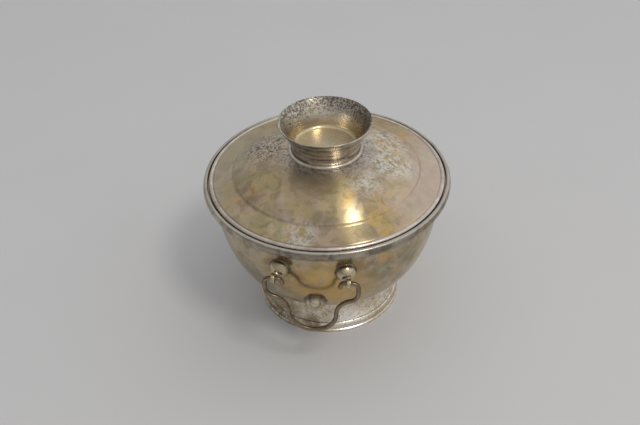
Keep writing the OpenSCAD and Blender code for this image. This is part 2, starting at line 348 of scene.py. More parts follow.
class Graph:
    """A material's node tree, with one short method per kind of node."""

    def __init__(self, name: str) -> None:
        """Starts a material of that name with a metal shader and object coordinates in millimetres."""
        self.material = bpy.data.materials.new(name)
        self.material.use_nodes = True
        self.tree = self.material.node_tree
        self.shader = self.tree.nodes["Principled BSDF"]
        coordinates = self.tree.nodes.new("ShaderNodeTexCoord")
        scaled = self.tree.nodes.new("ShaderNodeVectorMath")
        scaled.operation = "SCALE"
        scaled.inputs["Scale"].default_value = 1 / MM
        self.tree.links.new(coordinates.outputs["Object"], scaled.inputs[0])
        self.place = scaled.outputs[0]
        self._across: Socket | None = None
        self._split: bpy.types.Node | None = None

    def put(self, value: object, socket: Socket) -> None:
        """Sets a socket to a value, or links another socket into it."""
        if isinstance(value, Socket):
            self.tree.links.new(value, socket)
        elif isinstance(value, tuple) and len(value) == 3 and socket.type == "RGBA":
            socket.default_value = (*value, 1.0)
        else:
            socket.default_value = value

    def math(
        self, kind: str, a: object, b: object = 0.0, c: object = 0.0, clamp: bool = False
    ) -> Socket:
        """A sum of the kind named, such as ADD or MULTIPLY_ADD."""
        node = self.tree.nodes.new("ShaderNodeMath")
        node.operation = kind
        node.use_clamp = clamp
        for value, socket in zip((a, b, c), node.inputs):
            self.put(value, socket)
        return node.outputs[0]

    def times(self, a: object, b: object) -> Socket:
        """One value times another."""
        return self.math("MULTIPLY", a, b)

    def times_add(self, a: object, b: object, c: object, clamp: bool = False) -> Socket:
        """One value times another, and a third added."""
        return self.math("MULTIPLY_ADD", a, b, c, clamp)

    def most(self, a: object, b: object) -> Socket:
        """The greater of two values."""
        return self.math("MAXIMUM", a, b)

    def less(self, a: object, b: object) -> Socket:
        """The first value less the second."""
        return self.math("SUBTRACT", a, b)

    def part(self, name: str) -> Socket:
        """The X, Y or Z of the place, in millimetres."""
        if self._split is None:
            self._split = self.tree.nodes.new("ShaderNodeSeparateXYZ")
            self.put(self.place, self._split.inputs[0])
        return self._split.outputs[name]

    def across(self) -> Socket:
        """The distance from the bowl's axis, in millimetres."""
        if self._across is None:
            flat = self.tree.nodes.new("ShaderNodeCombineXYZ")
            self.put(self.part("X"), flat.inputs[0])
            self.put(self.part("Y"), flat.inputs[1])
            length = self.tree.nodes.new("ShaderNodeVectorMath")
            length.operation = "LENGTH"
            self.put(flat.outputs[0], length.inputs[0])
            self._across = length.outputs["Value"]
        return self._across

    def noise(
        self,
        size: float,
        detail: float = 4.0,
        rough: float = 0.55,
        twist: float = 0.0,
        shift: float = 0.0,
        at: Socket | None = None,
    ) -> Socket:
        """Cloudy noise from 0 to 1.

        Args:
            size: Width of its patches in millimetres.
            detail: How many finer layers it has.
            rough: Weight of the finer layers.
            twist: How far the patches are pulled about.
            shift: Moves the pattern, in patches.
            at: Where it is read, instead of the place.

        Returns:
            The noise.
        """
        node = self.tree.nodes.new("ShaderNodeTexNoise")
        node.noise_dimensions = "4D"
        self.put(at or self.place, node.inputs["Vector"])
        node.inputs["W"].default_value = shift
        node.inputs["Scale"].default_value = 1.0 / size
        node.inputs["Detail"].default_value = detail
        node.inputs["Roughness"].default_value = rough
        node.inputs["Distortion"].default_value = twist
        return node.outputs[0]

    def span(
        self, value: object, low: float, high: float, bottom: float = 0.0, top: float = 1.0
    ) -> Socket:
        """The value's way from low to high, eased, as bottom to top."""
        node = self.tree.nodes.new("ShaderNodeMapRange")
        node.interpolation_type = "SMOOTHSTEP"
        self.put(value, node.inputs["Value"])
        for name, number in (("From Min", low), ("From Max", high), ("To Min", bottom), ("To Max", top)):
            node.inputs[name].default_value = number
        return node.outputs["Result"]

    def ramp(self, value: object, stops: Sequence[tuple[float, Colour]]) -> Socket:
        """A colour for each value, eased between the stops."""
        node = self.tree.nodes.new("ShaderNodeValToRGB")
        node.color_ramp.interpolation = "EASE"
        while len(node.color_ramp.elements) < len(stops):
            node.color_ramp.elements.new(0.5)
        for element, (position, colour) in zip(node.color_ramp.elements, stops):
            element.position = position
            element.color = (*colour, 1.0)
        self.put(value, node.inputs[0])
        return node.outputs[0]

    def mix(self, share: object, first: object, second: object) -> Socket:
        """A colour between two others."""
        node = self.tree.nodes.new("ShaderNodeMix")
        node.data_type = "RGBA"
        self.put(share, node.inputs["Factor"])
        self.put(first, node.inputs["A"])
        self.put(second, node.inputs["B"])
        return node.outputs["Result"]

    def folded(self) -> Socket:
        """The place with X and Y made positive, so that all four quarters of the bowl read alike."""
        node = self.tree.nodes.new("ShaderNodeVectorMath")
        node.operation = "ABSOLUTE"
        self.put(self.place, node.inputs[0])
        return node.outputs[0]

    def near(
        self, centre: tuple[float, float, float], inner: float, outer: float, at: Socket | None = None
    ) -> Socket:
        """1 within the inner distance of a point in millimetres, 0 past the outer one."""
        node = self.tree.nodes.new("ShaderNodeVectorMath")
        node.operation = "DISTANCE"
        self.put(at or self.place, node.inputs[0])
        node.inputs[1].default_value = centre
        return self.span(node.outputs["Value"], inner, outer, 1.0, 0.0)

    def series(self, value: Socket, terms: Sequence[float]) -> Socket:
        """A polynomial of the value, highest power first."""
        total: object = float(terms[0])
        for term in terms[1:]:
            total = self.math("MULTIPLY_ADD", total, value, float(term))
        return total

    def cells(self, size: float, shift: float = 0.0) -> Socket:
        """Distance from the nearest of many scattered points, in widths of a cell."""
        node = self.tree.nodes.new("ShaderNodeTexVoronoi")
        node.voronoi_dimensions = "4D"
        node.inputs["W"].default_value = shift
        self.put(self.place, node.inputs["Vector"])
        node.inputs["Scale"].default_value = 1.0 / size
        return node.outputs["Distance"]

    def grooves(self, width: float, upright: bool, shift: float = 0.0, drift: float = 0.02) -> Socket:
        """Fine turning lines round the axis.

        Args:
            width: Width of the lines in millimetres.
            upright: True where the lines lie one above another, on a wall; False on a lid or floor.
            shift: Moves the pattern.
            drift: How fast the pattern changes along the lines.

        Returns:
            Noise from 0 to 1 that changes across the lines, and slowly along them.
        """
        at = self.tree.nodes.new("ShaderNodeCombineXYZ")
        self.put(self.math("MULTIPLY", self.part("X"), drift), at.inputs[0])
        self.put(self.math("MULTIPLY", self.part("Y"), drift), at.inputs[1])
        self.put(self.part("Z") if upright else self.across(), at.inputs[2])
        return self.noise(width, 2.0, 0.6, 0.0, shift, at.outputs[0])

    def bump(self, height: object, depth: float, onto: Socket | None = None) -> Socket:
        """A normal bent by a height of 0 to 1 over a depth in millimetres, on top of another normal."""
        node = self.tree.nodes.new("ShaderNodeBump")
        node.inputs["Strength"].default_value = 1.0
        node.inputs["Distance"].default_value = depth * MM
        self.put(height, node.inputs["Height"])
        if onto is not None:
            self.put(onto, node.inputs["Normal"])
        return node.outputs[0]


# Pale silver tone of the band's painted highlight.
PAINTED_HIGHLIGHT_TONE: Colour = (0.66, 0.62, 0.56)
GOLD: Colour = (0.52, 0.39, 0.21)
OLIVE: Colour = (0.40, 0.35, 0.22)
BROWN: Colour = (0.26, 0.19, 0.11)
MAUVE: Colour = (0.42, 0.36, 0.32)
SOOT: Colour = (0.045, 0.038, 0.030)


def even(*colours: Colour) -> tuple[tuple[float, Colour], ...]:
    """The colours as stops at equal steps from 0 to 1."""
    return tuple((k / (len(colours) - 1), colour) for k, colour in enumerate(colours))


@dataclass(frozen=True)
class AgedSilver:
    """Silver under an uneven film of tarnish, from bare to gold, brown and grey.

    Attributes:
        name: Name of the finish and of its material.
        film: Colours of the film from its thinnest to its thickest.
        cloud: Width of the film's patches in millimetres.
        gloss: Roughness where the surface is clean.
        haze: Roughness added under the thickest film.
        lines: Depth of the turning lines in millimetres.
        upright: True where those lines lie one above another.
        dents: Depth of the slight waves in the sheet, in millimetres.
        pits: Share of dark pits, from 0 to 1.
        streak: How far a highlight is drawn out across the turning lines.
        banding: How far the film's colour follows the turning lines.
        mottle: The most of the dust's colour that shows in the fine grain.
        dust: Colour of that grain.
        tooth: Depth of the fine grain in millimetres.
        tints: Colour, patch width in millimetres and greatest share of further stains over the film.
    """

    name: str
    film: tuple[tuple[float, Colour], ...]
    cloud: float = 16.0
    gloss: float = 0.16
    haze: float = 0.12
    lines: float = 0.0015
    upright: bool = True
    dents: float = 0.08
    pits: float = 0.2
    streak: float = 0.0
    banding: float = 0.12
    mottle: float = 0.22
    dust: Colour = (0.30, 0.26, 0.21)
    tooth: float = 0.006
    tints: tuple[tuple[Colour, float, float], ...] = ()

    def marks(self, g: Graph, colour: Socket, rough: Socket) -> Marked:
        """Marks of one piece only, on top of the film.

        Args:
            g: The material's nodes.
            colour: The colour so far.
            rough: The roughness so far.

        Returns:
            The colour and the roughness with the marks.
        """
        return colour, rough

    def material(self) -> bpy.types.Material:
        """Builds the finish.

        Returns:
            The material.
        """
        g = Graph(self.name)
        clouds = g.noise(self.cloud, 6.0, 0.60, 0.7, 1.3)
        drift = g.noise(self.cloud * 2.6, 2.0, 0.5, 0.4, 7.1)
        thick = g.times_add(clouds, 0.6, g.times(drift, 0.4))
        turned = g.less(g.grooves(1.3, self.upright, 3.7), 0.5)
        thick = g.times_add(turned, self.banding, thick)
        thick = g.span(thick, 0.28, 0.72)
        colour = g.ramp(thick, self.film)
        for k, (tint, size, share) in enumerate(self.tints):
            patch = g.noise(size, 7.0, 0.58, 0.8, 20.0 + 3.7 * k)
            colour = g.mix(g.span(patch, 0.46, 0.62, 0.0, share), colour, tint)
        fine = g.noise(1.6, 6.0, 0.72, 0.6, 4.4)
        grain = g.span(fine, 0.42, 0.72, 0.0, self.mottle)
        colour = g.mix(grain, colour, self.dust)
        rough = g.times_add(thick, self.haze, self.gloss)
        rough = g.times_add(grain, 0.12, rough)
        pit = g.span(g.cells(0.8, 2.0), 0.12, 0.30, 1.0, 0.0)
        where = g.span(g.noise(7.0, 4.0, 0.7, 0.0, 9.9), 0.66 - 0.3 * self.pits, 0.80 - 0.3 * self.pits)
        pit = g.times(pit, where)
        colour = g.mix(g.times(pit, 0.75), colour, SOOT)
        colour, rough = self.marks(g, colour, rough)
        rough = g.times_add(pit, 0.25, rough, clamp=True)
        normal = g.bump(g.noise(11.0, 2.0, 0.5, 0.0, 0.6), self.dents)
        normal = g.bump(g.grooves(0.35, self.upright, 5.5), self.lines, normal)
        normal = g.bump(g.less(fine, g.times(pit, 1.6)), self.tooth, normal)
        g.put(colour, g.shader.inputs["Base Color"])
        g.put(rough, g.shader.inputs["Roughness"])
        g.put(normal, g.shader.inputs["Normal"])
        g.shader.inputs["Metallic"].default_value = 1.0
        if self.streak:
            tangent = g.tree.nodes.new("ShaderNodeTangent")
            tangent.direction_type = "RADIAL"
            tangent.axis = "Z"
            g.put(tangent.outputs[0], g.shader.inputs["Tangent"])
            g.shader.inputs["Anisotropic"].default_value = self.streak
            g.shader.inputs["Anisotropic Rotation"].default_value = 0.25
        return g.material


@dataclass(frozen=True)
class WallSilver(AgedSilver):
    """The bowl's wall: olive and brown, with painted shade under the band and round the soldered domes."""

    def marks(self, g: Graph, colour: Socket, rough: Socket) -> Marked:
        """Painted shade under the band and round the domes, and a paler grey towards the foot."""
        cloud = g.noise(5.0, 5.0, 0.65, 0.5, 2.2)
        ragged = g.times_add(cloud, 7.0, g.part("Z"))
        # Painted shade: brown darkening under the rim band and in a ring round each dome's seat.
        painted_shade = g.span(ragged, 67.5, 73.0, 0.0, 0.75)
        at = g.folded()
        for centre, inner, outer in (((14.7, 52.5, 57.9), 4.9, 8.5), ((0.0, 48.4, 34.0), 5.2, 7.4)):
            painted_shade = g.most(painted_shade, g.times(g.near(centre, inner, outer, at), 0.7))
        colour = g.mix(g.times(painted_shade, g.span(cloud, 0.25, 0.5, 0.45, 1.0)), colour, BROWN)
        colour = g.mix(g.span(ragged, 38.0, 27.0, 0.0, 0.5), colour, MAUVE)
        warm = g.times(g.near((6.0, -50.0, 45.0), 8.0, 27.0), g.span(cloud, 0.36, 0.52, 0.3, 0.8))
        colour = g.mix(warm, colour, (0.70, 0.47, 0.17))
        return colour, rough


@dataclass(frozen=True)
class HandleSilver(AgedSilver):
    """Bosses, eyes and stops: polished, with painted shade in the corner where a dome meets the wall."""

    def marks(self, g: Graph, colour: Socket, rough: Socket) -> Marked:
        """Painted shade round the foot of each dome, measured from the tops of the domes."""
        at = g.folded()
        domes = g.most(g.near((16.0, 56.8, 57.3), 4.2, 6.2, at), g.near((0.0, 52.8, 32.0), 4.8, 6.8, at))
        eyes = g.near((17.0, 60.0, 57.2), 2.4, 3.4, at)
        # Painted shade: everything except the dome tops and the eyes is darkened towards near black.
        unshaded = g.most(domes, eyes)
        return g.mix(g.times_add(unshaded, -0.85, 0.85), colour, (0.10, 0.075, 0.05)), rough


@dataclass(frozen=True)
class BandSilver(AgedSilver):
    """The rim band: slate, with a painted highlight along its top edge."""

    def marks(self, g: Graph, colour: Socket, rough: Socket) -> Marked:
        """A painted highlight along the outer top edge, broken here and there."""
        ragged = g.times_add(g.noise(3.5, 5.0, 0.65, 0.4, 6.1), 1.3, g.part("Z"))
        # Painted highlight: a pale silver line along the outer top edge of the band.
        painted_highlight = g.times(g.span(ragged, 73.35, 73.95), g.span(g.across(), 57.6, 58.6))
        colour = g.mix(g.times(painted_highlight, 0.6), colour, PAINTED_HIGHLIGHT_TONE)
        return colour, rough


@dataclass(frozen=True)
class LidSilver(AgedSilver):
    """The lid: golden, with pale bloom on one side of the cup and grey specks on the other."""

    def marks(self, g: Graph, colour: Socket, rough: Socket) -> Marked:
        """Grey round the cup, specks to its left, bloom to its right and in patches by the front edge."""
        cloud = g.noise(6.0, 6.0, 0.68, 0.6, 3.1)
        ragged = g.times_add(cloud, 14.0, g.across())
        grey = g.span(ragged, 34.0, 25.5)
        colour = g.mix(g.times(grey, 0.6), colour, (0.42, 0.38, 0.33))
        middle = g.times(g.near((-4.0, -27.0, 86.0), 6.0, 17.0), g.span(cloud, 0.32, 0.58, 0.35, 0.9))
        colour = g.mix(g.times(middle, 0.55), colour, (0.38, 0.29, 0.17))
        side = g.times_add(cloud, 16.0, g.part("X"))
        colour = g.mix(g.span(side, 38.0, 56.0, 0.0, 0.65), colour, (0.70, 0.58, 0.50))
        colour = g.mix(g.span(side, -22.0, -42.0, 0.0, 0.55), colour, (0.50, 0.46, 0.36))
        speck = g.span(g.noise(1.2, 4.0, 0.8, 0.0, 8.2), 0.48, 0.55)
        left = g.most(g.near((-29.0, 3.0, 84.0), 6.0, 18.0), g.times(grey, 0.75))
        colour = g.mix(g.times(left, 0.55), colour, (0.68, 0.63, 0.56))
        colour = g.mix(g.times(g.times(left, speck), 0.8), colour, SOOT)
        right = g.most(g.near((27.0, 13.0, 85.0), 5.0, 18.0), g.near((31.0, -4.0, 83.0), 4.0, 15.0))
        front = g.most(g.near((20.0, -20.0, 84.0), 0.0, 14.0), g.near((-6.0, -51.0, 75.0), 2.0, 13.0))
        patch = g.most(right, g.times(front, 0.75))
        grain = g.noise(2.8, 7.0, 0.82, 0.8, 6.6)
        bloom = g.times(patch, g.span(grain, 0.46, 0.55))
        stain = g.times(patch, g.span(grain, 0.46, 0.36))
        colour = g.mix(g.times(stain, 0.6), colour, (0.34, 0.28, 0.21))
        colour = g.mix(g.times(bloom, 0.95), colour, (0.94, 0.91, 0.86))
        rough = g.times_add(bloom, 0.20, rough)
        rough = g.times_add(g.times(left, speck), 0.15, rough)
        return colour, rough


@dataclass(frozen=True)
class CupSilver(AgedSilver):
    """The finial cup: dark with turning lines outside, paler grey inside with dark spots and a gold floor.

    Attributes:
        middle: Terms of the polynomial that gives the radius of the middle of the cup's sheet, in
            millimetres, from the height above the table.
    """

    middle: tuple[float, ...] = ()

    def marks(self, g: Graph, colour: Socket, rough: Socket) -> Marked:
        """A dark outside with painted shade on its left, black spots below the mouth inside, painted shade
        on the inner wall's right, and gold over the floor.
        """
        height = g.part("Z")
        lean = g.less(g.across(), g.series(g.less(height, 96.0), self.middle))
        outside = g.span(lean, -0.12, 0.12)
        lines = g.span(g.grooves(2.0, True, 8.1, 0.16), 0.36, 0.60)
        dark = g.ramp(lines, even((0.22, 0.19, 0.15), (0.46, 0.40, 0.33), (0.72, 0.64, 0.53)))
        # Painted shade: the outside darkens towards its left side, away from the light.
        dark = g.mix(g.span(g.part("X"), -6.0, -15.0, 0.0, 0.6), dark, (0.14, 0.125, 0.11))
        colour = g.mix(g.times(outside, 0.9), colour, dark)
        cloud = g.noise(4.0, 6.0, 0.7, 0.4, 5.1)
        ragged = g.times_add(cloud, 8.0, height)
        within = g.less(1.0, outside)
        floor = g.times(g.span(ragged, 99.0, 94.0), within)
        colour = g.mix(g.times(floor, 0.7), colour, (0.72, 0.60, 0.38))
        # Painted shade: the inside turns browner towards +X, on the inner wall facing away from the light.
        east = g.span(g.times_add(cloud, 8.0, g.part("X")), 10.0, 19.0)
        colour = g.mix(g.times(g.times(east, within), 0.45), colour, (0.34, 0.27, 0.18))
        deep = g.times(g.span(ragged, 96.0, 106.0), g.span(g.part("Y"), -12.0, 6.0, 0.3, 1.0))
        spots = g.span(g.times_add(deep, 0.13, g.noise(1.0, 5.0, 0.85, 0.0, 2.9)), 0.59, 0.64)
        spots = g.times(spots, g.times(g.span(deep, 0.0, 0.3), within))
        colour = g.mix(g.times(spots, 0.8), colour, SOOT)
        rough = g.times_add(spots, 0.2, rough)
        return colour, rough


@dataclass(frozen=True)
class FootSilver(AgedSilver):
    """The foot: pale and frosted, with dark pits and brown patches."""

    def marks(self, g: Graph, colour: Socket, rough: Socket) -> Marked:
        """Brown patches low on the left and in front, a painted highlight beside them, and many small pits.
        """
        cloud = g.noise(4.0, 6.0, 0.68, 0.5, 1.9)
        low = g.most(g.near((-22.0, -29.0, 4.0), 4.0, 19.0), g.near((-4.0, -37.0, 1.0), 5.0, 10.0))
        patch = g.times(low, g.span(cloud, 0.36, 0.54))
        colour = g.mix(g.times(patch, 0.8), colour, BROWN)
        speck = g.span(g.noise(0.8, 4.0, 0.8, 0.0, 8.8), 0.52, 0.60)
        colour = g.mix(g.times(speck, g.span(cloud, 0.35, 0.6, 0.3, 0.85)), colour, (0.22, 0.17, 0.11))
        # Painted highlight: a near-white, smoother patch low on the front right of the foot.
        painted_highlight = g.times(g.near((15.0, -35.0, 2.0), 6.0, 14.0), g.less(1.0, speck))
        colour = g.mix(g.times(painted_highlight, 0.8), colour, (0.97, 0.92, 0.84))
        rough = g.times_add(patch, -0.08, rough)
        rough = g.times_add(painted_highlight, -0.08, rough)
        return colour, rough


@dataclass(frozen=True)
class WireSilver(AgedSilver):
    """The bail's wire: dark brown, with a painted highlight along the side that faces out."""

    def marks(self, g: Graph, colour: Socket, rough: Socket) -> Marked:
        """A painted highlight along the outer side of the wire, broken here and there."""
        out = g.math("ABSOLUTE", g.part("Y"))
        # Painted highlight: a paler brown line along the wire's outer side.
        painted_edge_highlight = g.span(g.times_add(g.noise(3.0, 4.0, 0.6, 0.3, 4.0), 0.7, out), 60.5, 60.85)
        colour = g.mix(g.times(painted_edge_highlight, 0.5), colour, (0.50, 0.40, 0.26))
        return colour, rough


class Finish(Enum):
    """Every finish on the bowl, under the name of its material slot."""

    BOWL = WallSilver(
        "bowl_silver",
        ((0.0, (0.60, 0.53, 0.40)), (0.35, GOLD), (0.65, OLIVE), (1.0, (0.36, 0.29, 0.20))),
        11.0, 0.16, 0.10, mottle=0.35,
        tints=(
            ((0.68, 0.44, 0.19), 17.0, 0.7), ((0.26, 0.18, 0.10), 9.0, 0.6), ((0.66, 0.60, 0.50), 7.0, 0.4),
        ),
    )
    BAND = BandSilver(
        "band_silver", even((0.58, 0.52, 0.44), (0.36, 0.33, 0.27), (0.20, 0.175, 0.145)), 9.0,
        0.20, 0.14, dents=0.02, mottle=0.3,
        tints=(((0.13, 0.11, 0.085), 11.0, 0.8), ((0.44, 0.34, 0.21), 6.0, 0.6)),
    )
    FOOT = FootSilver(
        "foot_silver", even((0.94, 0.88, 0.76), (0.88, 0.80, 0.66), (0.72, 0.62, 0.47)), 8.0,
        0.30, 0.08, pits=1.0, dents=0.03, mottle=0.45, tooth=0.014,
        tints=(((0.70, 0.54, 0.32), 9.0, 0.55), ((0.48, 0.39, 0.27), 3.0, 0.35)),
    )
    HANDLE = HandleSilver(
        "handle_silver", even((0.76, 0.68, 0.52), (0.62, 0.53, 0.36), (0.42, 0.34, 0.21)), 7.0,
        0.20, 0.10, lines=0.0, dents=0.02, mottle=0.2, tints=(((0.30, 0.22, 0.12), 5.0, 0.45),),
    )
    BAIL = WireSilver(
        "bail_silver", even((0.26, 0.20, 0.13), (0.18, 0.135, 0.09), (0.10, 0.08, 0.06)), 5.0,
        0.24, 0.14, lines=0.0, dents=0.02, mottle=0.3,
    )
    LID = LidSilver(
        "lid_silver",
        (
            (0.0, (0.72, 0.63, 0.46)), (0.35, (0.64, 0.50, 0.28)),
            (0.7, (0.56, 0.43, 0.24)), (1.0, (0.42, 0.34, 0.23)),
        ),
        16.0, 0.25, 0.06, upright=False, streak=0.93, mottle=0.28,
        tints=(
            ((0.70, 0.45, 0.15), 26.0, 0.85), ((0.38, 0.35, 0.18), 19.0, 0.65),
            ((0.64, 0.46, 0.40), 14.0, 0.45), ((0.24, 0.19, 0.12), 7.0, 0.5),
        ),
    )
    BEAD = AgedSilver(
        "bead_silver", even((0.84, 0.77, 0.70), (0.68, 0.61, 0.54), (0.46, 0.40, 0.34)), 5.0,
        0.20, 0.12, dents=0.01, mottle=0.3,
    )
    CUP = CupSilver(
        "cup_silver", even((0.80, 0.74, 0.64), (0.68, 0.61, 0.50), (0.48, 0.42, 0.33)), 7.0,
        0.22, 0.10, banding=0.5, streak=0.5, mottle=0.4, middle=(-0.000303, 0.02466, 0.44105, 17.6725),
    )


class Workshop:
    """Puts finished pieces on their bodies."""

    def __init__(self, record: dict) -> None:
        """Reads which body and which material slot each node has."""
        bodies = record["behaviour"]["bodies"]
        self.body = {node: body for body, nodes in bodies.items() for node in nodes}
        self.slots = {part["node"]: part["material_slot"] for part in record["subparts"]}
        self.materials = {finish.value.name: finish.value.material() for finish in Finish}

    def place(self, piece: bpy.types.Object, node: str) -> bpy.types.Object:
        """Dresses a piece, rides it on its body and lets it stand for its node.

        Args:
            piece: The finished mesh object.
            node: The node it stands for.

        Returns:
            The piece.
        """
        slot = self.slots[node]
        piece.data.materials.append(self.materials[slot])
        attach(piece, self.body[node])
        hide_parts(node)
        LOG.info("%s: %d faces, %s", piece.name, len(piece.data.polygons), slot)
        return piece


@dataclass(frozen=True)
class Extent:
    """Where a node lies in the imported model, in millimetres."""

    radius: float
    low: float
    high: float

    @classmethod
    def of(cls, node: str) -> "Extent":
        """The extent of one node."""
        low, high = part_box(node)
        return cls(high.x / MM, low.z / MM, high.z / MM)


# ---------------------------------------------------------------- sub-assemblies


@dataclass
class Bowl:
    """The raised shell and the band round its mouth.

    Attributes:
        sheet: Thickness of the shell.
        turn: Where the wall turns under to the foot.
        neck: Where the side meets the sweep up to the collar.
        lip: Where that sweep meets the collar.
    """

    sheet: float = 1.0
    turn: Point = (32.7, 19.8)
    neck: Point = (55.4, 66.3)
    lip: Point = (57.0, 68.7)
    belly: tuple[Point, Point] = ((44.63, 21.82), (54.06, 37.83))
    land: float = 2.2
    bulge: float = 0.8
    rebate: float = 1.8
    ledge_r: float = 54.9
    segments: int = 288

    def outer(self) -> list[Point]:
        """The outside of the shell from the middle of its bottom to the top of its collar."""
        shell = Extent.of("bowl_shell")
        rise = self.turn[1] - shell.low
        bottom = [(self.turn[0] * s / 14, shell.low + rise * (s / 14) ** 2) for s in range(15)]
        side = Outline.curve([self.turn, *self.belly, self.neck], 60)
        half = (self.lip[1] - self.neck[1]) / 2
        leave, arrive = (self.neck[0] + 0.1, self.neck[1] + half), (self.lip[0], self.lip[1] - half)
        sweep = Outline.curve([self.neck, leave, arrive, self.lip], 10)
        return bottom + side[1:] + sweep[1:] + [(self.lip[0], shell.high)]

    def shell(self) -> bpy.types.Object:
        """The shell, with the slight waves of hand raising."""
        outer = self.outer()
        inner = Outline.beside(outer, self.sheet)
        section = outer + inner[::-1]
        section[-1] = (0.0, inner[0][1])
        return Shape.turned("bowl_wall", section, self.segments, hammered(17.0, 0.10, 3.0))

    def band(self) -> bpy.types.Object:
        """The band, its bulged face, rounded land, rebate and ledge."""
        extent = Extent.of("bowl_rim_band")
        outside = extent.radius
        edge = outside - self.bulge
        collar = Extent.of("bowl_shell")
        rebate_r = outside - self.land
        seat = extent.high - self.rebate
        middle, half = (extent.low + extent.high) / 2, (extent.high - extent.low) / 2
        shoulder = 0.72
        face = [
            (outside - self.bulge * s * s, middle + half * s)
            for s in (-1 + (1 + shoulder) * i / 12 for i in range(13))
        ]
        high = extent.high
        over = [(edge + 0.25, high - 0.2), (edge - 0.1, high), (edge - 0.55, high)]
        top = Outline.curve([face[-1], *over], 8)
        down = [(rebate_r + 0.2, high), (rebate_r, high - 0.15), (rebate_r, high - 0.55)]
        inner = Outline.curve([(rebate_r + 0.6, high), *down], 6)
        ledge = [
            (rebate_r, seat + 0.15),
            (rebate_r, seat),
            (rebate_r - 0.15, seat),
            (self.ledge_r + 0.3, seat),
            (self.ledge_r + 0.08, seat - 0.08),
            (self.ledge_r, seat - 0.3),
            (self.ledge_r, collar.high),
            (collar.radius, collar.high),
            (collar.radius, extent.low),
        ]
        return Shape.turned("rim_band", face + top[1:] + inner + ledge, self.segments)

    def build(self, shop: Workshop) -> None:
        """Makes and places both pieces."""
        shop.place(self.shell(), "bowl_shell")
        shop.place(self.band(), "bowl_rim_band")


@dataclass
class Foot:
    """The spun flare and the ring that it stands on.

    Attributes:
        sheet: Thickness of the flare.
        lip_h: Height of the ring's thin lip.
        lip_ledge: Width of the lip's top beyond the swell.
        ring_w: Width of the ring's underside.
        solder: Size of the soldered sweep under the bowl.
    """

    sheet: float = 1.0
    top_r: float = 31.4
    lip_h: float = 1.2
    lip_ledge: float = 0.5
    lip_slope: float = 0.3
    ring_w: float = 3.2
    waist: tuple[Point, Point] = ((33.08, 9.0), (30.9, 12.8))
    solder: float = 0.7
    segments: int = 256

    def flare(self) -> bpy.types.Object:
        """The flare, with a small sweep of solder where it meets the bowl."""
        extent = Extent.of("foot_flare")
        meets = extent.high - 0.45
        outer = Outline.curve([(extent.radius, extent.low), *self.waist, (self.top_r, 20.8)], 44)
        outer = [p for p in outer if p[1] < meets - self.solder]
        outer += Outline.curve(
            [
                outer[-1],
                (outer[-1][0] + 0.03, meets - 0.4 * self.solder),
                (self.top_r + 0.25, meets - 0.05),
                (self.top_r + self.solder, meets + 0.12),
            ],
            6,
        )[1:]
        inner = [(r - self.sheet, z) for r, z in outer if z < meets - self.solder]
        section = outer + [(self.top_r + self.solder, meets + 0.4), (self.top_r - self.sheet, meets + 0.2)]
        section += inner[::-1]
        return Shape.turned("foot_flare_spun", section, self.segments, hammered(20.0, 0.05, 9.0))

    def ring(self) -> bpy.types.Object:
        """The ring: flat underside, thin lip and rounded swell."""
        extent = Extent.of("foot_base_ring")
        r, top = extent.radius, extent.high
        flare_r = Extent.of("foot_flare").radius
        start = self.lip_h + self.lip_slope
        wide = r - flare_r - self.lip_ledge
        swell = Outline.arc((0.0, 0.0), 1.0, 0.0, 90.0, 14)
        swell = [(flare_r + wide * c, start + (top - start) * s) for c, s in swell]
        lip = Outline.softened(
            [(r - self.ring_w, 0.0, 0.25), (r, 0.0, 0.3), (r, self.lip_h, 0.3), (*swell[0], 0.08)], 5
        )
        section = lip + swell[1:] + [(r - self.ring_w, top)]
        return Shape.turned("foot_ring", section, self.segments)

    def build(self, shop: Workshop) -> None:
        """Makes and places both pieces."""
        shop.place(self.flare(), "foot_flare")
        shop.place(self.ring(), "foot_base_ring")


